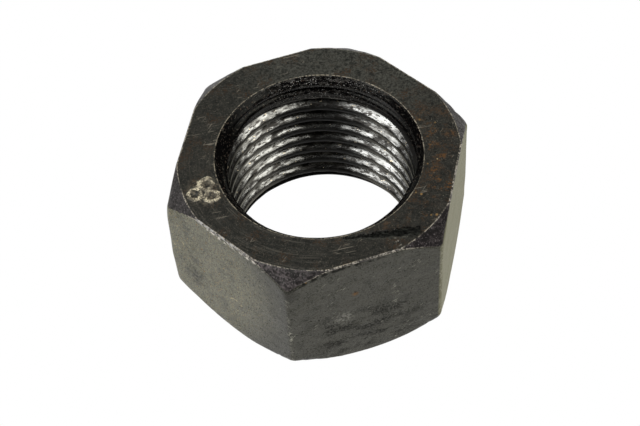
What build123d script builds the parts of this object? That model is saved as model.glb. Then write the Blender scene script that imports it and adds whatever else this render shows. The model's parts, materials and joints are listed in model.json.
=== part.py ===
"""Hex nut, M24 x 2, small series (32 mm across flats), chamfered on both ends.

The nut stands on its bottom face: origin at the centre of that face, +Z up along the thread.
Two flats face +X and -X.
"""

import math
import os

from build123d import *
from build123d.topology import SkipClean

# ---- driving sizes, millimetres and degrees ----
across_flats = 32.0  # wrench size, flat to opposite flat
nut_height = 19.0  # bottom face to top face
corner_radius = 0.8  # rounding of the six upright corners

top_circle_overhang = 0.45  # the top chamfer starts on a circle this far outside the flats' middles
top_chamfer_angle = 43.0  # slope of the top corner chamfer, measured from the top face
bottom_circle_setback = 0.8  # the bottom chamfer starts on a circle this far inside the flats
bottom_chamfer_angle = 42.0  # slope of the bottom chamfer, measured from the bottom face

thread_major_dia = 24.0  # M24
thread_pitch = 2.0  # fine pitch
thread_flank_angle = 30.0  # half of the 60 degree metric thread angle
groove_start_height = 0.64  # height of the groove's middle where it passes the +X side
countersink_clearance = 0.1  # the countersink's mouth is this much wider per side than the thread
countersink_angle = 90.0  # included angle of both countersinks

mark_bearing = -147.0  # direction of the punch mark from the axis, about +Z from +X
mark_circle_radius = 1.1  # the pits' centres lie on this circle, halfway from the mouth to a flat
pit_mouth_dia = 1.2
pit_angle = 120.0  # included angle of the punch's point
pit_count = 3

# ---- sizes that follow from them ----
flat_radius = across_flats / 2
corner_reach = flat_radius / math.cos(math.radians(30))
top_circle_radius = flat_radius + top_circle_overhang
bottom_circle_radius = flat_radius - bottom_circle_setback

flank_slope = math.tan(math.radians(thread_flank_angle))
sharp_height = thread_pitch / 2 / flank_slope
thread_depth = sharp_height * 5 / 8
minor_radius = thread_major_dia / 2 - thread_depth
root_width = thread_pitch / 8

countersink_radius = thread_major_dia / 2 + countersink_clearance
countersink_slope = math.tan(math.radians(countersink_angle / 2))

mark_ring_radius = (flat_radius + countersink_radius) / 2
pit_depth = pit_mouth_dia / 2 / math.tan(math.radians(pit_angle / 2))

# ---- construction allowances: they leave no trace on the finished nut ----
overrun = 1.0  # how far a cutting or trimming shape runs past the metal
mouth_overrun = 0.15  # how far the groove's cutter reaches into the open bore
lead_turns = 2  # whole turns of the groove that start below the bottom face
wall_sectors = 4  # the bore wall is turned in this many equal sectors
sector_arc = 360 / wall_sectors


def turned_outline():
    """Half section of the chamfered blank, drawn from the axis outwards."""
    reach = corner_reach + overrun
    low_rise = (reach - bottom_circle_radius) * math.tan(math.radians(bottom_chamfer_angle))
    high_drop = (reach - top_circle_radius) * math.tan(math.radians(top_chamfer_angle))
    return [
        (0, 0),
        (bottom_circle_radius, 0),
        (reach, low_rise),
        (reach, nut_height - high_drop),
        (top_circle_radius, nut_height),
        (0, nut_height),
    ]


def bore_outline():
    """Half section of the bore: thread core diameter with a countersink at each end."""
    mouth = countersink_radius + overrun * countersink_slope
    core_start = (countersink_radius - minor_radius) / countersink_slope
    return [
        (0, -overrun),
        (mouth, -overrun),
        (minor_radius, core_start),
        (minor_radius, nut_height - core_start),
        (mouth, nut_height + overrun),
        (0, nut_height + overrun),
    ]


def groove_outline():
    """Section of the thread groove, measured from the bore wall: flat root, wide open mouth."""
    root = thread_depth
    mouth = -mouth_overrun
    half_root = root_width / 2
    half_mouth = half_root + (root - mouth) * flank_slope
    return [
        (root, half_root),
        (root, -half_root),
        (mouth, -half_mouth),
        (mouth, half_mouth),
    ]


# ---- one turn of the thread groove, right-hand, starting on the +X side ----
with BuildPart() as groove_turn:
    with BuildLine():
        helix = Helix(
            pitch=thread_pitch,
            height=thread_pitch,
            radius=minor_radius,
            center=(0, 0, groove_start_height),
        )
    with BuildSketch(Plane(origin=helix @ 0, x_dir=(1, 0, 0), z_dir=helix % 0)):
        with BuildLine():
            Polyline(*groove_outline(), close=True)
        make_face()
    sweep(path=helix, is_frenet=True, clean=False)

turns_above = math.ceil(nut_height / thread_pitch)
turn_heights = [turn * thread_pitch for turn in range(-lead_turns, turns_above + 1)]

# ---- nut body ----
with BuildPart() as nut_body:
    with BuildSketch():
        RegularPolygon(radius=flat_radius, side_count=6, major_radius=False, rotation=30)
        fillet(vertices(), radius=corner_radius)
    extrude(amount=nut_height)

    # both ends are turned: the corners fall away as two shallow cones
    with BuildSketch(Plane.XZ):
        with BuildLine():
            Polyline(*turned_outline(), close=True)
        make_face()
    revolve(axis=Axis.Z, mode=Mode.INTERSECT)

    # punch mark: three plain pits on the top face
    with Locations(Plane.XY.offset(nut_height)):
        with PolarLocations(mark_ring_radius, 1, start_angle=mark_bearing):
            with PolarLocations(mark_circle_radius, pit_count):
                Cone(
                    bottom_radius=0,
                    top_radius=pit_mouth_dia / 2,
                    height=pit_depth,
                    align=(Align.CENTER, Align.CENTER, Align.MAX),
                    mode=Mode.SUBTRACT,
                )

    # bore, countersinks and thread; the wall is left in sectors, each turn of the crest in four
    with SkipClean():
        for sector in range(wall_sectors):
            with BuildSketch(Plane.XZ.rotated((0, 0, sector * sector_arc))):
                with BuildLine():
                    Polyline(*bore_outline(), close=True)
                make_face()
            revolve(axis=Axis.Z, revolution_arc=sector_arc, mode=Mode.SUBTRACT)

        with Locations(*[(0, 0, height) for height in turn_heights]):
            add(groove_turn.part, mode=Mode.SUBTRACT)

nut_body.part.label = "nut_body"

os.makedirs("parts", exist_ok=True)
export_step(nut_body.part, "parts/nut_body.step")
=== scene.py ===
# A worn, oil-blackened M24 x 2 hex nut on a pale floor.
# The mesh is one closed skin: columns go round the nut, rows follow its section from the lower
# countersink out over the hexagon to the upper countersink and back down the thread.
import json
import math

import bpy
import numpy as np
from mathutils import Matrix, Vector


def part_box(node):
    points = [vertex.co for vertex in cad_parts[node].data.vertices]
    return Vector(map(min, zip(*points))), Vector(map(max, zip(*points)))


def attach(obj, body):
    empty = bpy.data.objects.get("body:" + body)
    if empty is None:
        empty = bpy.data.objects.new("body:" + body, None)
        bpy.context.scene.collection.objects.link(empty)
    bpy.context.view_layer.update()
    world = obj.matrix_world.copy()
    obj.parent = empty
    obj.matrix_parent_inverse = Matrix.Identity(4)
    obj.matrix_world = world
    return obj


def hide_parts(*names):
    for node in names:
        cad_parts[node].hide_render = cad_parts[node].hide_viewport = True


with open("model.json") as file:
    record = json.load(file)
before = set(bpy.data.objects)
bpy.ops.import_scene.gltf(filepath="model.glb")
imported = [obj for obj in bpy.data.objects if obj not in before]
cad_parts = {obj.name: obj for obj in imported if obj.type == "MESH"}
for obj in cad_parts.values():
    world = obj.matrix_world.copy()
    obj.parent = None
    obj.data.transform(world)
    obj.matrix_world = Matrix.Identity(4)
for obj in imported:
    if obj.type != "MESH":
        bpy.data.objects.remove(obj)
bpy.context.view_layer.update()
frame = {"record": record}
print("frame loaded")

mm = 0.001
fullTurn = 2 * math.pi
sixth = math.pi / 3

# sizes that come from the frame, in millimetres
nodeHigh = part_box("nut_body")[1]
threadMount = next(m for m in frame["record"]["mounts"] if m["name"] == "thread")
flatRadius = nodeHigh[0] / mm
nutHeight = nodeHigh[2] / mm
coreRadius = threadMount["dims"]["r_mm"]

# lengths in millimetres, angles in degrees, bearings from +X towards +Y
nutShape = {
    "pitch": 2.0,
    "grooveStart": 0.64,  # height of a groove's middle on the +X side
    "mouthRadius": 12.1,
    "topCircle": 16.45,
    "topSlope": 43.0,
    "leastChamfer": 0.12,  # what is left of the chamfer where a side cuts the top circle
    "bottomCircle": 15.2,
    "bottomSlope": 42.0,
    "cornerRounding": 0.8,
    "columns": 480,
    "crowding": 0.55,  # how much closer the columns stand at the six corners
}

# the metric groove: five eighths of the sharp triangle's height deep, an eighth of the pitch wide at
# its root, with a quarter of the pitch left at the crest
threadDepth = nutShape["pitch"] * math.sqrt(3) / 2 * 5 / 8
rootWidth = nutShape["pitch"] / 8
crestWidth = nutShape["pitch"] / 4

# zones of the skin from the lower countersink outwards and up; what is left is the bore
bottomZone, lowerChamferZone, sideZone, upperChamferZone, topZone = 1, 2, 3, 4, 5

# reach of the rounding on each side of an edge, and the chips that bite further in; a span is where
# something starts and where it is full
edgeWear = {
    "mouth": 0.16,
    "bottomCircle": 0.30,
    "bottomEdge": 0.24,
    "topEdge": 0.20,
    "topCircle": 0.24,
    "cornerBottom": 2.4,  # extra rounding where the chamfers meet the upright corners
    "cornerTop": 2.0,
    "cornerSpan": (0.6, 2.2),  # outwards past the middle of a flat
    "middleFlat": 1.0,  # extra rounding of the upper edge where the face runs out to the side
    "middleSpan": (0.4, -0.1),  # side's distance outside the top circle
    "mostShare": 0.48,  # of a face, for one rounding
    "uneven": 0.25,
    "unevenSize": 5.0,
    "chipSize": 1.4,
    "chipDepth": 0.9,
    "chipFrom": 0.8,  # ripples lower than this leave the edge whole
    "chipsElsewhere": 0.3,
    "knockedBearing": -120.0,  # the side whose upper edge took the most knocks
    "knockedSpan": (0.8, 0.95),  # cosine of the angle from that bearing
}

# what handling and the tap left on the surfaces; a fade is the distance from an edge where a blemish
# starts and where it is full, and a ragged outline is a list of ripples: depth, size, seed
blemishes = {
    "flatSag": 0.01,
    "swell": 0.32,  # one upright corner came out of the forging die a little fat
    "swellBearing": -150.0,
    "swellSpread": 9.0,
    "swellRound": 1.2,  # above one, the swelling gathers at half height
    "flatWave": 0.022,
    "waveSize": 5.0,
    "flatFade": (0, 1.2),
    "scaleWave": 0.02,
    "scaleSize": 1.3,
    "scaleSink": 0.6,
    "scaleFade": (0, 0.3),
    "faceWave": 0.012,
    "faceFade": (0.05, 0.5),
    "tearing": 0.006,
    "tearSize": 0.55,
    "tearStretch": 5.0,  # tears run round the bore
    "tearLessInRoot": 0.6,
    "grooveFade": 0.5,  # the groove starts at the mouth and is full this far in
    "threadClear": 1.2,  # past this far in, the thread is torn and off centre in full
    "grooveWave": 0.006,
    "grooveWaveSize": 1.6,
    "crestCut": 0.42,  # how far the last crest was peeled back on the far side
    "crestCutBearing": 80.0,
    "crestCutSpread": (-0.1, 0.5),  # cosine of the angle from that bearing: starts, full
    "crestCutSpan": (15.4, 16.0),  # height: starts, full
    "boreShift": 0.12,  # the thread stands this far off centre
    "pitCount": 3,
    "pitBearing": -147.0,
    "pitCircle": 1.1,
    "pitMouth": 1.2,
    "pitDepth": 0.346,
    "pitRim": 0.105,
    "pitRimOut": 0.16,  # from the pit's mouth to the top of its rim
    "pitRimWidth": 0.26,
    "pitRagged": ((0.07, 0.9, 64), (0.04, 0.4, 67)),
    "gougeFrom": (5.3, -11.3),
    "gougeTo": (12.8, -8.9),
    "gougeWidth": (0.21, 0.87),  # at its start and at its end
    "gougeSlope": (1.25, 0.6),  # shares of that width: where it starts to sink, where it is full
    "gougeDepth": 0.08,
    "gougeRagged": ((0.09, 1.1, 65), (0.04, 0.4, 66)),
    "gougeFade": (0, 0.3),
}


def ripples(points, size, seed, waves=20):
    # a sum of plane waves in random directions, wavelengths near the size in millimetres,
    # scaled to a spread of one
    rng = np.random.default_rng(seed)
    total = np.zeros(points.shape[:-1])
    for _ in range(waves):
        direction = rng.normal(size=3)
        direction /= np.linalg.norm(direction)
        length = size * rng.uniform(0.7, 1.4)
        total += np.sin(points @ direction * (fullTurn / length) + rng.uniform(0, fullTurn))
    return total / math.sqrt(waves / 2)


def ragged(points, outline):
    # the ripples of a ragged outline, added up
    return sum(depth * ripples(points, size, seed) for depth, size, seed in outline)


def smoothStep(low, high, value):
    # zero at low, one at high, a cubic in between
    share = np.clip((value - low) / (high - low), 0, 1)
    return share * share * (3 - 2 * share)


def hexRadius(angle):
    # distance from the axis to the side: flat radius over the cosine of the angle from the flat's
    # middle, and near a corner the far side of the rounding's circle
    rounding = nutShape["cornerRounding"]
    fromFlat = (angle + sixth / 2) % sixth - sixth / 2
    side = flatRadius / np.cos(fromFlat)
    centre = (flatRadius - rounding) / math.cos(sixth / 2)
    fromCorner = sixth / 2 - np.abs(fromFlat)
    across = centre * np.sin(fromCorner)
    arc = centre * np.cos(fromCorner) + np.sqrt(np.maximum(rounding**2 - across**2, 0))
    tangent = math.atan2(rounding * 0.5, centre + rounding * math.cos(sixth / 2))
    return np.where(fromCorner < tangent, arc, side)


def onCircle(radius, angle, height):
    # points at a radius and height round the axis
    radius, angle, height = np.broadcast_arrays(radius, angle, height)
    return np.stack([radius * np.cos(angle), radius * np.sin(angle), height], -1)


def sectionCorners(angle):
    # the sharp section at each angle: mouth, circle and edge at the bottom, then the same upwards;
    # where the side cuts the top circle, a hair of chamfer is left
    side = hexRadius(angle)
    topCircle = np.minimum(nutShape["topCircle"], side - nutShape["leastChamfer"])
    rise = (side - nutShape["bottomCircle"]) * math.tan(math.radians(nutShape["bottomSlope"]))
    drop = (side - topCircle) * math.tan(math.radians(nutShape["topSlope"]))
    one = np.ones_like(angle)
    pairs = [
        (nutShape["mouthRadius"] * one, 0 * one),
        (nutShape["bottomCircle"] * one, 0 * one),
        (side, rise),
        (side, nutHeight - drop),
        (topCircle, nutHeight * one),
        (nutShape["mouthRadius"] * one, nutHeight * one),
    ]
    return [np.stack(pair, -1) for pair in pairs]


cornerNames = ["mouth", "bottomCircle", "bottomEdge", "topEdge", "topCircle", "mouth"]
stepCounts = [7, 6, 20, 6, 36]  # straight rows on each face between two corners
curveShares = (0, 0.25, 0.5, 0.75, 1)
curveStarts = np.cumsum([0] + [steps + len(curveShares) for steps in stepCounts])
curveMiddles = curveStarts + len(curveShares) // 2


def outerRows(angle):
    # rows of (radius, height): each corner is a quadratic curve from a point short of it to a point
    # past it, and straight steps join one corner's end to the next one's start
    corners = sectionCorners(angle)
    mouthEnd = edgeWear["mouth"]
    below = corners[0] + np.array([-mouthEnd, mouthEnd])
    above = corners[-1] + np.array([-mouthEnd, -mouthEnd])
    chain = [below, *corners, above]
    corner = smoothStep(*edgeWear["cornerSpan"], hexRadius(angle) - flatRadius)
    middle = smoothStep(*edgeWear["middleSpan"], hexRadius(angle) - nutShape["topCircle"])
    fromKnocked = angle - math.radians(edgeWear["knockedBearing"])
    knocked = smoothStep(*edgeWear["knockedSpan"], np.cos(fromKnocked))
    curves = []
    for index, name in enumerate(cornerNames):
        at, before, after = chain[index + 1], chain[index], chain[index + 2]
        ring = onCircle(at[:, 0], angle, at[:, 1])
        chips = np.maximum(ripples(ring, edgeWear["chipSize"], 40 + index) - edgeWear["chipFrom"], 0)
        uneven = edgeWear["uneven"] * ripples(ring, edgeWear["unevenSize"], 50 + index)
        chipped = 1 + knocked if name == "topEdge" else edgeWear["chipsElsewhere"]
        reach = edgeWear[name] * (1 + uneven + edgeWear["chipDepth"] * chips * chipped)
        if name == "topEdge":
            reach *= 1 + edgeWear["middleFlat"] * middle + edgeWear["cornerTop"] * corner
        if name == "bottomEdge":
            reach *= 1 + edgeWear["cornerBottom"] * corner
        back, ahead = before - at, after - at
        backLength = np.linalg.norm(back, axis=-1)
        aheadLength = np.linalg.norm(ahead, axis=-1)
        reachBack = np.minimum(np.abs(reach), edgeWear["mostShare"] * backLength)
        reachAhead = np.minimum(np.abs(reach), edgeWear["mostShare"] * aheadLength)
        if index == 0:
            reachBack = backLength
        if index == len(cornerNames) - 1:
            reachAhead = aheadLength
        start = at + back * (reachBack / backLength)[:, None]
        end = at + ahead * (reachAhead / aheadLength)[:, None]
        curves.append([(1 - t) ** 2 * start + 2 * t * (1 - t) * at + t * t * end for t in curveShares])
    rows = []
    for index, curve in enumerate(curves):
        rows += curve
        if index < len(stepCounts):
            nextStart = curves[index + 1][0]
            shares = np.arange(1, stepCounts[index] + 1) / (stepCounts[index] + 1)
            rows += [curve[-1] + (nextStart - curve[-1]) * share for share in shares]
    return np.array(rows)


def edgeGap(section, angle):
    # distance in the section from each point to its nearest sharp corner
    corners = np.stack(sectionCorners(angle))
    return np.linalg.norm(section[:, None] - corners[None], axis=-1).min(1)


def segmentGap(points, start, end):
    # distance seen from above from each point to a straight stroke, and the share along it
    start, end = np.array(start), np.array(end)
    run = end - start
    share = np.clip((points[..., :2] - start) @ run / (run @ run), 0, 1)
    return np.linalg.norm(points[..., :2] - start - share[..., None] * run, axis=-1), share


def pitCentres():
    # punch marks on a small circle, the first one outermost
    bearing = math.radians(blemishes["pitBearing"])
    middle = (nutShape["mouthRadius"] + flatRadius) / 2
    for step in range(blemishes["pitCount"]):
        turn = bearing + step * fullTurn / blemishes["pitCount"]
        yield (
            middle * math.cos(bearing) + blemishes["pitCircle"] * math.cos(turn),
            middle * math.sin(bearing) + blemishes["pitCircle"] * math.sin(turn),
        )


def sideShift(points, angle, gap, zone):
    # how far outwards each point goes: sides sink and wave, one upright corner swells as a bell curve
    # of its bearing times a sine of its height, and chamfers are scaly
    wave = blemishes["flatWave"] * ripples(points, blemishes["waveSize"], 61)
    sink = np.where(zone == sideZone, blemishes["flatSag"] + wave, 0)
    sink *= smoothStep(*blemishes["flatFade"], gap)
    turn = (np.degrees(angle) - blemishes["swellBearing"] + 180) % 360 - 180
    bell = np.exp(-((turn / blemishes["swellSpread"]) ** 2))
    height = np.clip(points[..., 2] / nutHeight, 0, 1)
    swell = blemishes["swell"] * bell * np.sin(math.pi * height) ** blemishes["swellRound"]
    scale = ripples(points, blemishes["scaleSize"], 62) - blemishes["scaleSink"]
    scale = blemishes["scaleWave"] * scale * smoothStep(*blemishes["scaleFade"], gap)
    scale = np.where((zone == lowerChamferZone) | (zone == upperChamferZone), scale, 0)
    return swell + scale - sink


def punchMarks(points):
    # each pit is a cone, deepest in its middle and gone at its mouth, and round the mouth the metal
    # stands up in a rim whose height is a bell curve; ripples make both of them ragged
    mouth = blemishes["pitMouth"] / 2
    lift = np.zeros(points.shape[:-1])
    rim = np.zeros(points.shape[:-1])
    uneven = ragged(points, blemishes["pitRagged"])
    for x, y in pitCentres():
        away = np.hypot(points[..., 0] - x, points[..., 1] - y) + uneven
        lip = np.exp(-(((away - mouth - blemishes["pitRimOut"]) / blemishes["pitRimWidth"]) ** 2))
        lift += blemishes["pitRim"] * lip - blemishes["pitDepth"] * np.clip(1 - away / mouth, 0, 1)
        rim = np.maximum(rim, lip)
    return lift, rim


def gougeShare(points):
    # one inside a ragged stroke that widens towards its end, nothing outside
    away, share = segmentGap(points, blemishes["gougeFrom"], blemishes["gougeTo"])
    away = away + ragged(points, blemishes["gougeRagged"])
    startWidth, endWidth = blemishes["gougeWidth"]
    width = startWidth + (endWidth - startWidth) * share
    outside, inside = blemishes["gougeSlope"]
    return smoothStep(width * outside, width * inside, away)


def weatherOuter(points, angle, gap):
    # moves the outer rows by their blemishes: the sides and chamfers in or out, the end faces inwards
    # in shallow waves, and the top face by its punch marks and its gouge
    rows = np.arange(len(points))[:, None]
    zone = np.searchsorted(curveMiddles, rows, side="right")
    onTop = (zone == topZone) | (rows >= curveStarts[cornerNames.index("topCircle")])
    moved = points.copy()
    outward = np.stack([np.cos(angle), np.sin(angle)], -1)[None]
    moved[..., :2] += outward * sideShift(points, angle, gap, zone)[..., None]
    dent = np.minimum(ripples(points, blemishes["waveSize"], 63), 1) - 1
    face = blemishes["faceWave"] * dent * smoothStep(*blemishes["faceFade"], gap)
    moved[..., 2] += np.where(zone == topZone, face, 0) - np.where(zone == bottomZone, face, 0)
    lift, rim = punchMarks(points)
    smear = np.where(onTop, gougeShare(points), 0)
    sunk = blemishes["gougeDepth"] * smear * smoothStep(*blemishes["gougeFade"], gap)
    moved[..., 2] += np.where(onTop, lift, 0) - sunk
    return moved, np.where(onTop, rim, 0), smear


def boreRadius(angle, height):
    # core radius, opened by a cone at each mouth, by the peeled crest near the top, and by the groove
    # where the height is close to the groove's middle, which climbs one pitch a turn
    pitch = nutShape["pitch"]
    middle = nutShape["grooveStart"] + pitch * angle / fullTurn
    around = onCircle(coreRadius, angle, height)
    stretch = blemishes["tearStretch"]
    streaks = ripples(around * np.array([1 / stretch, 1 / stretch, 1]), blemishes["tearSize"], 71)
    away = np.abs((height - middle + pitch / 2) % pitch - pitch / 2)
    away += blemishes["grooveWave"] * ripples(around, blemishes["grooveWaveSize"], 72)
    halfMouth = (pitch - crestWidth) / 2
    halfRoot = rootWidth / 2
    share = np.clip((halfMouth - away) / (halfMouth - halfRoot), 0, 1)
    fromEnd = np.minimum(height, nutHeight - height)
    cone = nutShape["mouthRadius"] - fromEnd
    fromCut = np.cos(angle - math.radians(blemishes["crestCutBearing"]))
    cut = blemishes["crestCut"] * smoothStep(*blemishes["crestCutSpan"], height)
    cut = cut * smoothStep(*blemishes["crestCutSpread"], fromCut)
    base = np.maximum(coreRadius + cut, cone)
    groove = coreRadius + threadDepth * share
    fade = smoothStep(edgeWear["mouth"], edgeWear["mouth"] + blemishes["grooveFade"], fromEnd)
    deep = smoothStep(edgeWear["mouth"], blemishes["threadClear"], fromEnd)
    torn = blemishes["tearing"] * np.abs(streaks) * (1 - blemishes["tearLessInRoot"] * share) * deep
    return base + np.maximum(groove - base, 0) * fade + torn, share, deep


def boreRows(angle):
    # rows that climb with the helix, from above the top mouth to below the bottom one, held between
    # the two mouths; it starts with more turns than fit, and rows wholly outside are dropped
    pitch = nutShape["pitch"]
    hair = 1e-9
    # rows of one turn above and below the groove's middle: crest, flank, root, flank, crest
    offsets = np.array([0.97, 0.80, 0.73, 0.54, 0.33, 0.125, -0.125, -0.33, -0.54, -0.73, -0.80])
    turns = np.arange(math.ceil(nutHeight / pitch) + 1, -3, -1)
    levels = (nutShape["grooveStart"] + turns[:, None] * pitch + offsets[None, :]).ravel()
    top, bottom = nutHeight - edgeWear["mouth"], edgeWear["mouth"]
    first = np.nonzero(levels >= top)[0][-1]
    last = np.nonzero(levels + pitch <= bottom)[0][0]
    levels = levels[first : last + 1]
    height = np.clip(levels[:, None] + pitch * angle[None, :] / fullTurn, bottom, top)
    return height, height >= top - hair, height <= bottom + hair, len(offsets)


def skinFaces(outerCount, boreCount, columns, atTop, atBottom, perTurn):
    # quads between neighbouring rows and columns; the last column meets the first one a turn of the
    # thread higher; corners held at a mouth are the mouth's own points, and what that flattens goes;
    # each triangle keeps its zone, which changes at the middle of every rounded corner
    rowCount = outerCount + boreCount
    number = np.arange(rowCount * columns).reshape(rowCount, columns)
    bore = number[outerCount:]
    bore[atTop] = np.broadcast_to(number[outerCount - 1], bore.shape)[atTop]
    bore[atBottom] = np.broadcast_to(number[0], bore.shape)[atBottom]
    outer = np.concatenate([number[:outerCount], number[:outerCount, :1]], 1)
    shifted = np.maximum(np.arange(boreCount) - perTurn, 0)
    inner = np.concatenate([bore, bore[shifted, :1]], 1)
    inner[0] = outer[-1]
    quads = np.concatenate([
        np.stack([g[:-1, :-1], g[:-1, 1:], g[1:, 1:], g[1:, :-1]], -1).reshape(-1, 4)
        for g in (outer, inner)
    ])
    outerZone = np.searchsorted(curveMiddles, np.arange(outerCount - 1), side="right")
    zone = np.concatenate([
        np.repeat(outerZone, columns),
        np.full((boreCount - 1) * columns, len(curveMiddles)),
    ])
    triangles = np.concatenate([quads[:, [0, 1, 2]], quads[:, [0, 2, 3]]])
    zone = np.concatenate([zone, zone])
    flat = (
        (triangles[:, 0] == triangles[:, 1])
        | (triangles[:, 1] == triangles[:, 2])
        | (triangles[:, 0] == triangles[:, 2])
    )
    return triangles[~flat], zone[~flat]


def buildNut():
    # columns crowd towards the corners: even steps less a sine of six waves a turn
    step = np.arange(nutShape["columns"]) * fullTurn / nutShape["columns"]
    angle = step - nutShape["crowding"] / 6 * np.sin(6 * (step - sixth / 2))
    outer = outerRows(angle)
    gap = edgeGap(outer, angle)
    outerPoints, rim, smear = weatherOuter(onCircle(outer[..., 0], angle, outer[..., 1]), angle, gap)
    height, atTop, atBottom, perTurn = boreRows(angle)
    radius, share, deep = boreRadius(angle[None, :], height)
    borePoints = onCircle(radius, angle, height)
    borePoints[..., 0] += blemishes["boreShift"] * deep
    boreGap = np.hypot(radius - nutShape["mouthRadius"], np.minimum(height, nutHeight - height))
    triangles, zone = skinFaces(len(outer), len(height), len(angle), atTop, atBottom, perTurn)
    used, index = np.unique(triangles, return_inverse=True)
    points = np.concatenate([outerPoints, borePoints]).reshape(-1, 3)[used]
    mesh = bpy.data.meshes.new("nut")
    mesh.from_pydata((points * mm).tolist(), [], index.reshape(-1, 3).tolist())
    mesh.polygons.foreach_set("use_smooth", np.ones(len(mesh.polygons), dtype=bool))
    # each zone's finish, by its place in the list of finishes further down: bore, end face, chamfer,
    # side, chamfer, end face, bore
    finish = np.array([0, 1, 2, 3, 2, 1, 0])[zone]
    mesh.polygons.foreach_set("material_index", finish.astype(np.int32))
    bearing = np.degrees(angle)
    fromCorner = np.abs(bearing % 60 - 30) * math.radians(1) * flatRadius / math.cos(sixth / 2)
    blank = np.zeros(height.shape)
    clear = blank + flatRadius  # a distance that no wear reaches
    layers = {
        "edgeGap": (gap, boreGap),
        "cornerGap": (np.broadcast_to(fromCorner, gap.shape), clear),
        "rim": (rim, blank),
        "smear": (smear, blank),
        "cut": (0 * gap, share),
    }
    for name, (onOuter, onBore) in layers.items():
        values = np.concatenate([onOuter, onBore]).ravel()[used]
        layer = mesh.attributes.new(name, "FLOAT", "POINT")
        layer.data.foreach_set("value", values.astype(np.float32))
    mesh.update()
    nut = bpy.data.objects.new("nut", mesh)
    bpy.context.scene.collection.objects.link(nut)
    print("nut skin:", len(mesh.polygons), "triangles, mended", mesh.validate())
    return nut


nut = buildNut()
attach(nut, "root")
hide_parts("nut_body")


def linear(hexColour):
    # an sRGB hex colour as linear red, green, blue and alpha
    parts = [int(hexColour[i : i + 2], 16) / 255 for i in (1, 3, 5)]
    return [p / 12.92 if p <= 0.04045 else ((p + 0.055) / 1.055) ** 2.4 for p in parts] + [1.0]


def addNode(tree, kind, inputs=None, **settings):
    # one node with its settings; an input takes a value or another node's output
    node = tree.nodes.new(kind)
    for name, value in settings.items():
        setattr(node, name, value)
    for name, value in (inputs or {}).items():
        if isinstance(value, bpy.types.NodeSocket):
            tree.links.new(value, node.inputs[name])
        else:
            node.inputs[name].default_value = value
    return node


def newMaterial(name):
    material = bpy.data.materials.new(name)
    material.use_nodes = True
    material.node_tree.nodes.clear()
    return material, material.node_tree


def patches(tree, place, size, low, high, stretch=(1, 1, 1), turn=(0, 0, 0), detail=2.0):
    # patches of about the size in millimetres: noise, nothing below low and full above high;
    # stretch draws them out along an axis after the turn, in degrees
    laid = addNode(
        tree,
        "ShaderNodeMapping",
        {
            "Vector": place,
            "Rotation": [math.radians(t) for t in turn],
            "Scale": [size * mm * s for s in stretch],
        },
        vector_type="TEXTURE",
    )
    noise = addNode(
        tree,
        "ShaderNodeTexNoise",
        {"Vector": laid.outputs[0], "Scale": 1.0, "Detail": detail, "Roughness": 0.6},
    )
    share = addNode(
        tree,
        "ShaderNodeMapRange",
        {"Value": noise.outputs[0], "From Min": low, "From Max": high},
        interpolation_type="SMOOTHSTEP",
    )
    return share.outputs[0]


def flecks(tree, place, size, spacing, share):
    # round flecks of the size, one in that share of the cells of a random grid, in millimetres
    cells = addNode(tree, "ShaderNodeTexVoronoi", {"Vector": place, "Scale": 1 / (spacing * mm)})
    reach = size / 2 / spacing
    near = addNode(
        tree,
        "ShaderNodeMapRange",
        {"Value": cells.outputs["Distance"], "From Min": reach, "From Max": reach * 0.5},
        interpolation_type="SMOOTHSTEP",
    )
    chosen = addNode(
        tree, "ShaderNodeMath", {0: cells.outputs["Color"], 1: 1 - share}, operation="GREATER_THAN"
    )
    both = addNode(tree, "ShaderNodeMath", {0: near.outputs[0], 1: chosen.outputs[0]}, operation="MULTIPLY")
    return both.outputs[0]


def within(tree, value, low, high):
    # one where an attribute or value is at low or less, nothing at high or more
    if isinstance(value, str):
        value = addNode(tree, "ShaderNodeAttribute", attribute_name=value).outputs["Fac"]
    share = addNode(
        tree,
        "ShaderNodeMapRange",
        {"Value": value, "From Min": high, "From Max": low},
        interpolation_type="SMOOTHSTEP",
    )
    return share.outputs[0]


def joined(tree, *shares):
    # several masks multiplied together
    total = shares[0]
    for share in shares[1:]:
        total = addNode(tree, "ShaderNodeMath", {0: total, 1: share}, operation="MULTIPLY").outputs[0]
    return total


def nearPoint(tree, place, centre, low, high):
    # one within low millimetres of a point, nothing beyond high
    reach = addNode(
        tree, "ShaderNodeVectorMath", {0: place, 1: [c * mm for c in centre]}, operation="DISTANCE"
    )
    return within(tree, reach.outputs["Value"], low * mm, high * mm)


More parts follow.
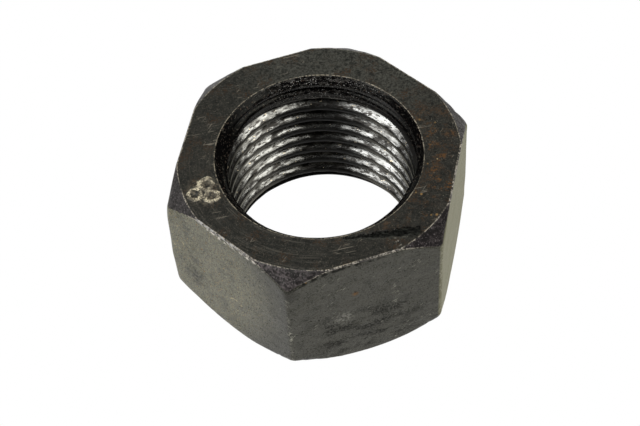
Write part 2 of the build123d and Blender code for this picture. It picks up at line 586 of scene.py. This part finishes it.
def finishSteel(tree, base, coats, bumps, gloss=0.5, sheen="#f4f2e4", dulled=()):
    # the base is (colour, roughness, metallic), and each coat is (mask, colour, roughness, metallic)
    # and covers what is under it by its mask, where None keeps the value underneath; each bump is
    # (height, depth in millimetres) and raises the surface where height is one; each dulled is (mask,
    # share of the gloss that goes)
    colour, rough, metal = linear(base[0]), base[1], base[2]
    for mask, hexColour, coatRough, coatMetal in coats:
        covered = {0: mask, 6: colour, 7: linear(hexColour)}
        colour = addNode(tree, "ShaderNodeMix", covered, data_type="RGBA").outputs[2]
        if coatRough is not None:
            rough = addNode(tree, "ShaderNodeMix", {0: mask, 2: rough, 3: coatRough}).outputs[0]
        if coatMetal is not None:
            metal = addNode(tree, "ShaderNodeMix", {0: mask, 2: metal, 3: coatMetal}).outputs[0]
    level = gloss
    for mask, share in dulled:
        level = addNode(tree, "ShaderNodeMix", {0: mask, 2: level, 3: gloss * (1 - share)}).outputs[0]
    inputs = {
        "Base Color": colour,
        "Roughness": rough,
        "Metallic": metal,
        "Specular IOR Level": level,
        "Specular Tint": linear(sheen),
    }
    for height, depth in bumps:
        bump = {"Height": height, "Distance": depth * mm}
        if "Normal" in inputs:
            bump["Normal"] = inputs["Normal"]
        inputs["Normal"] = addNode(tree, "ShaderNodeBump", bump).outputs[0]
    shader = addNode(tree, "ShaderNodeBsdfPrincipled", inputs)
    addNode(tree, "ShaderNodeOutputMaterial", {"Surface": shader.outputs[0]})


def curl(tree, place, centre, radius):
    # a broken curved scratch round a centre, with that radius in millimetres; its line is full to
    # 0.03 mm on either side and gone at 0.1
    reach = addNode(
        tree, "ShaderNodeVectorMath", {0: place, 1: [c * mm for c in centre]}, operation="DISTANCE"
    ).outputs["Value"]
    off = addNode(tree, "ShaderNodeMath", {0: reach, 1: radius * mm}, operation="SUBTRACT").outputs[0]
    off = addNode(tree, "ShaderNodeMath", {0: off}, operation="ABSOLUTE").outputs[0]
    return joined(tree, within(tree, off, 0.03 * mm, 0.1 * mm), patches(tree, place, 0.9, 0.5, 0.58))


def wornEdge(tree, place, width, low=0.45, high=0.62):
    # bare steel along the section's edges, full in the nearest third of the width, and broken up by
    # coarse and by fine noise
    band = within(tree, "edgeGap", width * 0.3, width)
    coarse = patches(tree, place, 1.6, low - 0.1, high - 0.06, detail=2)
    return joined(tree, band, coarse, patches(tree, place, 0.25, low, high, detail=2))


# a place is a centre, then how far round it the mark is full and where it ends, in millimetres
turnedFace = {
    "steel": ("#11100e", 0.4, 0.0),  # colour, roughness, metallic
    "edgeWidth": 0.13,
    "ringsLaidAt": 14.0,  # radius at which the broken rings keep their true length
    "rings": ((-6, -12, nutHeight), 6, 18),
    "rust": ((14, -1, nutHeight), 3, 14),
    "farGreyGrain": ((0, 14, nutHeight), 6, 16),
    "bruise": ((-11.8, -7.6, nutHeight), 1.0, 2.6),
    "chips": ((11.2, -10.4, nutHeight), 0.4, 1.4),
    "rimWorn": (0.7, 0.2),  # share of a pit's rim where the wear is full, and where it ends
    # painted highlight on the pits' rims: share of a rim where it is full, and where it ends
    "rimHighlight": (0.8, 0.35),
    "rimPits": (0.6, 0.1),
}


def blackenedTurnedFace():
    # end face of medium carbon steel, faced in a lathe, then blackened in a hot bath and oiled: a
    # brownish black satin with faint rings, rust flecks where the oil dried, and light scratches; the
    # feed marks are too fine to show, so the rings are drawn about 0.14 mm wide
    material, tree = newMaterial("blackenedTurnedFace")
    place = addNode(tree, "ShaderNodeTexCoord").outputs["Object"]
    smear = addNode(tree, "ShaderNodeAttribute", attribute_name="smear").outputs["Fac"]
    rim = addNode(tree, "ShaderNodeAttribute", attribute_name="rim").outputs["Fac"]
    # the direction from the axis, one ring radius long, with the distance as its height: noise laid
    # on it and drawn out sideways gives broken rings
    level = addNode(
        tree, "ShaderNodeVectorMath", {0: place, 1: (1, 1, 0)}, operation="MULTIPLY"
    ).outputs[0]
    distance = addNode(tree, "ShaderNodeVectorMath", {0: level}, operation="LENGTH").outputs["Value"]
    direction = addNode(tree, "ShaderNodeVectorMath", {0: level}, operation="NORMALIZE").outputs[0]
    upwards = addNode(tree, "ShaderNodeCombineXYZ", {"Z": distance}).outputs[0]
    turned = addNode(
        tree,
        "ShaderNodeVectorMath",
        {0: direction, 1: [turnedFace["ringsLaidAt"] * mm] * 3, 2: upwards},
        operation="MULTIPLY_ADD",
    ).outputs[0]
    ringSide = nearPoint(tree, place, *turnedFace["rings"])
    rings = joined(tree, ringSide, patches(tree, turned, 0.14, 0.55, 0.65, stretch=(40, 40, 1)))
    ringGaps = patches(tree, turned, 0.3, 0.54, 0.64, stretch=(16, 16, 1), detail=1)
    brown = joined(
        tree,
        patches(tree, place, 2.2, 0.5, 0.64, detail=4),
        patches(tree, place, 0.25, 0.44, 0.58),
    )
    rustSide = nearPoint(tree, place, *turnedFace["rust"])
    rust = joined(
        tree,
        rustSide,
        patches(tree, place, 1.6, 0.5, 0.62, detail=4),
        patches(tree, place, 0.3, 0.42, 0.58),
    )
    rimWorn = joined(
        tree,
        within(tree, rim, *turnedFace["rimWorn"]),
        patches(tree, place, 0.5, 0.3, 0.5, detail=4),
    )
    # painted highlight along the raised rims, broken up by noise
    rimHighlight = joined(
        tree,
        within(tree, rim, *turnedFace["rimHighlight"]),
        patches(tree, place, 0.9, 0.36, 0.54, detail=3),
        patches(tree, place, 0.16, 0.36, 0.56),
    )
    rimPits = joined(
        tree,
        within(tree, rim, *turnedFace["rimPits"]),
        patches(tree, place, 0.2, 0.6, 0.66),
    )
    bruised = joined(
        tree,
        nearPoint(tree, place, *turnedFace["bruise"]),
        patches(tree, place, 0.5, 0.45, 0.62, detail=4),
    )
    chips = joined(
        tree,
        nearPoint(tree, place, *turnedFace["chips"]),
        patches(tree, place, 0.3, 0.58, 0.64),
    )
    sparse = patches(tree, place, 2.5, 0.6, 0.64)
    scratchesOne = joined(
        tree,
        sparse,
        patches(tree, place, 0.11, 0.7, 0.76, stretch=(20, 1, 1), turn=(0, 0, 25), detail=0),
    )
    scratchesTwo = joined(
        tree,
        sparse,
        patches(tree, place, 0.11, 0.73, 0.78, stretch=(1, 20, 1), turn=(0, 0, -20), detail=0),
    )
    grain = patches(tree, place, 0.28, 0.35, 0.7, detail=3)
    # lighter greenish grey grain towards the far side of the top face
    farGreyGrain = joined(tree, nearPoint(tree, place, *turnedFace["farGreyGrain"]), grain)
    coats = [
        (patches(tree, place, 3.0, 0.46, 0.62, detail=3), "#1e1b17", 0.5, None),
        (patches(tree, place, 2.0, 0.54, 0.66, turn=(0, 30, 0), detail=4), "#070606", 0.35, None),
        (joined(tree, grain, patches(tree, place, 1.2, 0.35, 0.6)), "#201e1a", 0.5, None),
        (rings, "#423d35", 0.4, None),
        (joined(tree, ringSide, ringGaps), "#0c0b0a", None, None),
        (patches(tree, place, 0.14, 0.54, 0.64), "#37332d", 0.45, None),
        (patches(tree, place, 0.12, 0.65, 0.7, turn=(50, 0, 0)), "#7a7262", 0.45, None),
        (farGreyGrain, "#47463f", 0.5, None),
        (brown, "#33200f", 0.7, 0.0),
        (rust, "#573818", 0.8, 0.0),
        (patches(tree, place, 0.4, 0.54, 0.62, detail=4), "#0b0a09", None, None),
        (scratchesOne, "#7a7265", 0.4, 0.2),
        (scratchesTwo, "#766e62", 0.4, 0.2),
        (flecks(tree, place, 0.34, 1.7, 0.16), "#a38a62", 0.6, 0.0),
        (joined(tree, rustSide, flecks(tree, place, 0.4, 0.9, 0.25)), "#8a6a3c", 0.6, 0.0),
        (chips, "#8c867a", 0.4, 0.2),
        (smear, "#040404", 0.22, 0.0),
        (wornEdge(tree, place, turnedFace["edgeWidth"], 0.4, 0.56), "#b0a48e", 0.45, 0.2),
        (bruised, "#6d6454", 0.45, 0.2),
        (rimWorn, "#6a6153", 0.35, 0.2),
        # painted highlight on the rims
        (rimHighlight, "#e6d8b8", 0.4, 0.1),
        (rimPits, "#141210", 0.6, 0.0),
    ]
    bumps = [(rings, 0.012), (grain, 0.02), (patches(tree, place, 0.8, 0.3, 0.7), 0.03)]
    finishSteel(tree, turnedFace["steel"], coats, bumps)
    return material


turnedChamfer = {
    "steel": ("#1e1a1b", 0.4, 0.0),
    "edgeWidth": 0.13,
    "front": ((-3, -17.5, nutHeight - 1), 3, 7),
    "knocks": ((-8.6, -13.4, nutHeight), 2.6, 4.6),
    "knockWidth": (0.3, 0.9),  # from the edge: full, gone
    "dull": ((15.6, -8.8, nutHeight - 1), 3, 6),
    "dulling": 0.75,  # share of the gloss that goes
}


def blackenedChamfer():
    # turned chamfer, then blackened: coarse feed marks full of scale give a grainy purplish brown,
    # rubbed to bare steel along both edges
    material, tree = newMaterial("blackenedChamfer")
    place = addNode(tree, "ShaderNodeTexCoord").outputs["Object"]
    grain = patches(tree, place, 0.32, 0.4, 0.65, detail=3)
    front = nearPoint(tree, place, *turnedChamfer["front"])
    knocks = joined(
        tree,
        nearPoint(tree, place, *turnedChamfer["knocks"]),
        within(tree, "edgeGap", *turnedChamfer["knockWidth"]),
        patches(tree, place, 0.4, 0.4, 0.54, detail=3),
    )
    coats = [
        (grain, "#3f3838", 0.6, None),
        (joined(tree, front, grain), "#5d5454", 0.6, None),
        (patches(tree, place, 1.4, 0.5, 0.62), "#1b1718", 0.5, None),
        (patches(tree, place, 0.16, 0.6, 0.68), "#6f6867", 0.4, 0.2),
        (patches(tree, place, 0.18, 0.6, 0.66, turn=(40, 0, 0)), "#0e0c0c", 0.6, None),
        (wornEdge(tree, place, turnedChamfer["edgeWidth"], 0.42, 0.58), "#b9b0a2", 0.45, 0.2),
        (knocks, "#b8b4ae", 0.4, 0.2),
    ]
    bumps = [(grain, 0.025), (patches(tree, place, 1.0, 0.3, 0.7), 0.04)]
    dulled = [(nearPoint(tree, place, *turnedChamfer["dull"]), turnedChamfer["dulling"])]
    finishSteel(tree, turnedChamfer["steel"], coats, bumps, dulled=dulled)
    return material


forgedFlat = {
    "steel": ("#211f1d", 0.36, 0.0),
    "gloss": 0.55,
    "sheen": "#f6f2cc",
    "edgeWidth": 0.15,
    "cornerWidth": (0.05, 0.4),  # from the upright corner: full, gone
    "olive": ((-16, -12, 11), 9, 17),
    "drawnFrom": (15.85, 15.6),  # distance along +X: full, gone
    "smut": ((8, -13.8, 7.0), 4.0, 9.5),
    "smutHeight": (8, 11),
    "smudge": ((-13.1, -10.9, 7.0), 0.5, 2.6),
    "rubbed": ((5.7, -15.2, 8.8), 0.3, 1.8),
    "highCurl": ((-14.9, -9.8, 11.6), 1.0),  # centre and radius
    "lowCurl": ((-7.5, -14.4, 6.6), 1.1),
    "knocks": ((-7.4, -14.2, nutHeight - 0.5), 3, 6),
    "knockWidth": (0.3, 0.8),
    "tip": ((0.2, -18.2, nutHeight - 3.0), 0.2, 1.5),
    "shade": ((5, -15.2, nutHeight - 1), 3.5, 7),
    "shadeWidth": (0.45, 0.75),
    "rustDot": ((6.9, -14.5, 13.0), 0.1, 0.6),
}


def blackenedFlat():
    # side of the hexagon, forged and blackened: a matte grey olive skin with dark pits, fine
    # scratches, vertical draw lines and pale worn corners; the skin's grain is too fine to show, so
    # it is drawn 0.16 mm coarse
    material, tree = newMaterial("blackenedFlat")
    place = addNode(tree, "ShaderNodeTexCoord").outputs["Object"]
    along = addNode(tree, "ShaderNodeSeparateXYZ", {0: place}).outputs
    grain = patches(tree, place, 0.16, 0.4, 0.66, detail=3)
    pits = patches(tree, place, 0.2, 0.61, 0.67, turn=(30, 20, 0))
    tan = patches(tree, place, 0.2, 0.62, 0.68, turn=(0, 40, 30))
    oliveSide = nearPoint(tree, place, *forgedFlat["olive"])
    # the +X side: the draw lines stay on it, and its yellowish, partly metallic skin is a painted tint of
    # its reflection of the pale floor
    drawnTintedSide = within(tree, along["X"], *[x * mm for x in forgedFlat["drawnFrom"]])
    smut = joined(
        tree,
        nearPoint(tree, place, *forgedFlat["smut"]),
        patches(tree, place, 1.6, 0.42, 0.6, stretch=(2.0, 2.0, 1), turn=(0, -12, 0), detail=4),
        patches(tree, place, 0.22, 0.36, 0.56),
        within(tree, along["Z"], *[z * mm for z in forgedFlat["smutHeight"]]),
    )
    smudge = joined(
        tree,
        nearPoint(tree, place, *forgedFlat["smudge"]),
        patches(tree, place, 0.9, 0.3, 0.7),
    )
    rubbed = joined(
        tree,
        nearPoint(tree, place, *forgedFlat["rubbed"]),
        patches(tree, place, 0.3, 0.45, 0.62, detail=3),
    )
    drawn = joined(tree, patches(tree, place, 0.25, 0.42, 0.62, stretch=(1, 1, 30), detail=3), drawnTintedSide)
    scratches = joined(
        tree,
        patches(tree, place, 2.5, 0.58, 0.63),
        patches(tree, place, 0.13, 0.7, 0.74, stretch=(1, 1, 12), turn=(0, 55, 20), detail=0),
    )
    corner = joined(
        tree,
        within(tree, "cornerGap", *forgedFlat["cornerWidth"]),
        patches(tree, place, 0.25, 0.48, 0.62, detail=3),
        patches(tree, place, 2.5, 0.4, 0.6),
    )
    knockedEdge = joined(
        tree,
        nearPoint(tree, place, *forgedFlat["knocks"]),
        within(tree, "edgeGap", *forgedFlat["knockWidth"]),
    )
    knocks = patches(tree, place, 0.4, 0.5, 0.6, stretch=(1.6, 1.6, 1), detail=3)
    # painted shadow: black specks in the dents knocked into the upper edge
    knockShadows = patches(tree, place, 0.7, 0.56, 0.62, detail=3)
    tip = nearPoint(tree, place, *forgedFlat["tip"])
    shade = joined(
        tree,
        within(tree, "edgeGap", *forgedFlat["shadeWidth"]),
        nearPoint(tree, place, *forgedFlat["shade"]),
        patches(tree, place, 0.8, 0.36, 0.56),
    )
    rustDot = joined(
        tree,
        nearPoint(tree, place, *forgedFlat["rustDot"]),
        patches(tree, place, 0.2, 0.4, 0.55),
    )
    oliveShade = patches(tree, place, 1.8, 0.48, 0.66, detail=4)
    coats = [
        (patches(tree, place, 4.0, 0.4, 0.62), "#2a2926", 0.42, None),
        (patches(tree, place, 1.3, 0.48, 0.66, detail=3), "#191816", 0.42, None),
        (grain, "#3b3a36", 0.45, None),
        (oliveSide, "#545247", 0.42, None),
        (joined(tree, oliveSide, grain), "#87856f", 0.48, None),
        (joined(tree, oliveSide, oliveShade), "#4a4940", 0.4, None),
        (pits, "#0f0e0d", 0.6, None),
        (joined(tree, oliveSide, tan), "#a3895c", 0.6, None),
        # painted tint of the +X side's reflection of the pale floor
        (drawnTintedSide, "#5a5844", 0.42, 0.45),
        (drawn, "#605e4a", 0.44, 0.45),
        (smut, "#121110", 0.6, None),
        (smudge, "#2b2a27", 0.5, None),
        (rubbed, "#6e6c64", 0.4, None),
        (flecks(tree, place, 0.32, 1.5, 0.12), "#12110f", 0.6, None),
        (flecks(tree, place, 0.34, 2.8, 0.25), "#80603a", 0.7, None),
        (rustDot, "#6d4c2a", 0.8, 0.0),
        (curl(tree, place, *forgedFlat["highCurl"]), "#b3a680", 0.45, 0.1),
        (curl(tree, place, *forgedFlat["lowCurl"]), "#b3a680", 0.45, 0.1),
        (scratches, "#7e7c70", 0.4, 0.1),
        (tip, "#232120", 0.5, None),
        (shade, "#0f0e0d", 0.6, None),
        (corner, "#9a978a", 0.4, 0.15),
        (wornEdge(tree, place, forgedFlat["edgeWidth"], 0.4, 0.56), "#ada595", 0.45, 0.2),
        (joined(tree, knockedEdge, knocks), "#dfd6c8", 0.4, 0.1),
        # painted shadow in the knocked dents
        (joined(tree, knockedEdge, knockShadows), "#0c0b0a", 0.6, 0.0),
    ]
    bumps = [(grain, 0.012), (patches(tree, place, 1.2, 0.3, 0.7), 0.02), (drawn, 0.006)]
    speckle = patches(tree, place, 0.15, 0.42, 0.62, turn=(0, 70, 40), detail=2)
    mottled = joined(tree, speckle, patches(tree, place, 1.3, 0.42, 0.62, detail=4))
    dulled = [
        (speckle, 0.42),
        (mottled, 0.65),
        (smut, 0.7),
        (smudge, 0.3),
        (pits, 0.8),
        (tip, 0.4),
        (shade, 0.8),
    ]
    finishSteel(
        tree,
        forgedFlat["steel"],
        coats,
        bumps,
        gloss=forgedFlat["gloss"],
        sheen=forgedFlat["sheen"],
        dulled=dulled,
    )
    return material


tappedBore = {
    "steel": ("#5b5954", 0.24, 1.0),
    "gloss": 0.1,
    "edgeWidth": 0.09,
    "root": (0.92, 0.68),  # share of the groove's depth where the painted shade is full, and where it ends
    # share of the groove's depth where the crests' painted darker reflection is full, and where it ends
    "crest": (0.0, 0.06),
    "farWall": ((-2.7, 10.6, 0), 3.5, 8.0),  # measured level, so it holds at every height; the crests there get a painted black reflection
    # where painted sheen streaks and painted glints go on the countersink
    "farConeSheen": ((-2, 12, nutHeight), 4, 10),
    "oiledTop": (nutHeight - 2.8, nutHeight - 3.6),  # heights: full, gone
    "oiledBottom": (1.0, 1.6),
}


def tappedThread():
    # thread cut by a tap and countersink by a drill after the blackening bath had thinned: torn
    # silvery flanks and crests, an oily black towards both mouths, painted shade in the roots, a
    # painted darker reflection on the crests and painted sheen on the far side of the countersink
    material, tree = newMaterial("tappedThread")
    place = addNode(tree, "ShaderNodeTexCoord").outputs["Object"]
    height = addNode(tree, "ShaderNodeSeparateXYZ", {0: place}).outputs["Z"]
    level = addNode(
        tree, "ShaderNodeVectorMath", {0: place, 1: (1, 1, 0)}, operation="MULTIPLY"
    ).outputs[0]
    torn = patches(tree, place, 0.2, 0.35, 0.65, stretch=(9, 9, 1), detail=3)
    stained = patches(tree, place, 0.6, 0.52, 0.64, stretch=(4, 4, 1), detail=4)
    # painted shade: the groove roots and the flank beside them go black, where the crest above hides and
    # shadows them
    root = within(tree, "cut", *tappedBore["root"])
    # painted reflection: the crests go darker grey all round and black on the far wall, where they mirror
    # the dark near side of the bore
    crest = within(tree, "cut", *tappedBore["crest"])
    farCrestShade = joined(tree, crest, nearPoint(tree, level, *tappedBore["farWall"]))
    oiledTop = within(tree, height, *[z * mm for z in tappedBore["oiledTop"]])
    oiledBottom = within(tree, height, *[z * mm for z in tappedBore["oiledBottom"]])
    coneStreaks = joined(tree, oiledTop, patches(tree, place, 0.16, 0.58, 0.7, stretch=(3, 3, 1)))
    coneRust = joined(tree, oiledTop, patches(tree, place, 0.3, 0.62, 0.7))
    # painted sheen: lighter streaks and pale specks on the far side of the oiled countersink
    farConeSheen = joined(tree, oiledTop, nearPoint(tree, place, *tappedBore["farConeSheen"]))
    farSheenStreaks = joined(tree, farConeSheen, patches(tree, place, 0.2, 0.52, 0.62, stretch=(3, 3, 1)))
    coats = [
        (torn, "#94928c", 0.24, 1.0),
        (stained, "#2b2926", 0.3, 0.7),
        (patches(tree, place, 0.12, 0.5, 0.62, stretch=(6, 6, 1)), "#3a3733", 0.3, 0.9),
        (patches(tree, place, 0.22, 0.68, 0.72, stretch=(3, 3, 1)), "#d4c4a6", 0.35, 0.9),
        # painted shade in the groove roots
        (root, "#020202", 0.5, 0.0),
        # painted darker reflection on the crests, black on the far wall
        (crest, "#4a4844", 0.35, 0.8),
        (farCrestShade, "#050505", 0.4, 0.0),
        (oiledTop, "#0a0909", 0.25, 0.0),
        (oiledBottom, "#0a0909", 0.25, 0.0),
        (coneStreaks, "#4a463f", 0.3, 0.3),
        (coneRust, "#4c4036", 0.5, 0.2),
        # painted sheen streaks and painted glints on the far countersink
        (farSheenStreaks, "#403d39", 0.35, 0.0),
        (joined(tree, farConeSheen, patches(tree, place, 0.13, 0.64, 0.69)), "#d8d4cc", 0.35, 0.0),
        (wornEdge(tree, place, tappedBore["edgeWidth"], 0.44, 0.6), "#8d826f", 0.4, 0.2),
    ]
    bumps = [(torn, 0.004), (patches(tree, place, 0.35, 0.3, 0.7), 0.003)]
    finishSteel(
        tree, tappedBore["steel"], coats, bumps, gloss=tappedBore["gloss"], dulled=[(root, 1.0)]
    )
    return material


for makeFinish in (tappedThread, blackenedTurnedFace, blackenedChamfer, blackenedFlat):
    nut.data.materials.append(makeFinish())
print("finishes made")

studio = {
    "floorSize": 4.0,
    "worldGrey": "#5a5a5a",
    "worldStrength": 0.06,
    # each soft box: bearing and elevation in degrees, distance, width and height in metres, watts,
    # colour
    "right": (1, 52, 0.6, 0.36, 0.4, 1.95, "#fafcfc"),
    "left": (-153, 52, 0.6, 0.36, 0.4, 2.45, "#f4f8fe"),
    "back": (104, 24, 1.0, 1.6, 0.5, 2.6, "#fbfff6"),
}

# the camera, in millimetres and degrees, aimed a little below and to the left of the nut's middle
view = {
    "bearing": -75.783,
    "elevation": 52.609,
    "distance": 207.8,
    "roll": 3.461,
    "lens": 97.613,
    "sensor": 36.0,
    "aimLeft": 0.303,
    "aimDown": 1.097,
}


def addFloor():
    # a pale square, level with the nut's bottom face, that glows evenly
    half = studio["floorSize"] / 2
    mesh = bpy.data.meshes.new("floor")
    corners = [(-half, -half, 0), (half, -half, 0), (half, half, 0), (-half, half, 0)]
    mesh.from_pydata(corners, [], [(0, 1, 2, 3)])
    floor = bpy.data.objects.new("floor", mesh)
    bpy.context.scene.collection.objects.link(floor)
    material, tree = newMaterial("paleFloor")
    glow = addNode(tree, "ShaderNodeEmission", {"Color": linear("#ffffff"), "Strength": 1.0})
    addNode(tree, "ShaderNodeOutputMaterial", {"Surface": glow.outputs[0]})
    mesh.materials.append(material)


def towards(bearing, elevation):
    # unit vector at a bearing and an elevation in degrees
    level = math.cos(math.radians(elevation))
    turn = math.radians(bearing)
    return Vector((level * math.cos(turn), level * math.sin(turn), math.sin(math.radians(elevation))))


def addLight(name):
    # a soft box aimed at the nut's middle
    bearing, elevation, distance, width, height, power, hexColour = studio[name]
    middle = Vector((0, 0, nutHeight * mm / 2))
    away = towards(bearing, elevation)
    lamp = bpy.data.lights.new(name, "AREA")
    lamp.shape = "RECTANGLE"
    lamp.size, lamp.size_y = width, height
    lamp.energy = power
    lamp.color = linear(hexColour)[:3]
    holder = bpy.data.objects.new(name, lamp)
    holder.location = middle + away * distance
    holder.rotation_euler = away.to_track_quat("Z", "Y").to_euler()
    bpy.context.scene.collection.objects.link(holder)


def addWorld():
    # a dim grey all round
    world = bpy.data.worlds.new("studioAir")
    world.use_nodes = True
    tree = world.node_tree
    tree.nodes.clear()
    air = addNode(
        tree,
        "ShaderNodeBackground",
        {"Color": linear(studio["worldGrey"]), "Strength": studio["worldStrength"]},
    )
    addNode(tree, "ShaderNodeOutputWorld", {"Surface": air.outputs[0]})
    bpy.context.scene.world = world


def addCamera():
    # stands off the nut's middle, turns to the aim, then rolls about its own line of sight
    back = towards(view["bearing"], view["elevation"])
    right = Vector((0, 0, 1)).cross(back).normalized()
    up = back.cross(right)
    middle = Vector((0, 0, nutHeight / 2))
    place = middle + back * view["distance"]
    target = middle - right * view["aimLeft"] - up * view["aimDown"]
    back = (place - target).normalized()
    right = up.cross(back).normalized()
    up = back.cross(right)
    roll = math.radians(view["roll"])
    rolledRight = right * math.cos(roll) - up * math.sin(roll)
    rolledUp = right * math.sin(roll) + up * math.cos(roll)
    data = bpy.data.cameras.new("camera")
    data.sensor_width = view["sensor"]
    data.lens = view["lens"]
    data.clip_start, data.clip_end = 0.01, 20.0
    camera = bpy.data.objects.new("camera", data)
    turn = Matrix((rolledRight, rolledUp, back)).transposed().to_4x4()
    camera.matrix_world = Matrix.Translation(place * mm) @ turn
    bpy.context.scene.collection.objects.link(camera)
    bpy.context.scene.camera = camera


addFloor()
addWorld()
for softBox in ("right", "left", "back"):
    addLight(softBox)
addCamera()
bpy.context.scene.view_settings.view_transform = "Standard"
print("studio set")
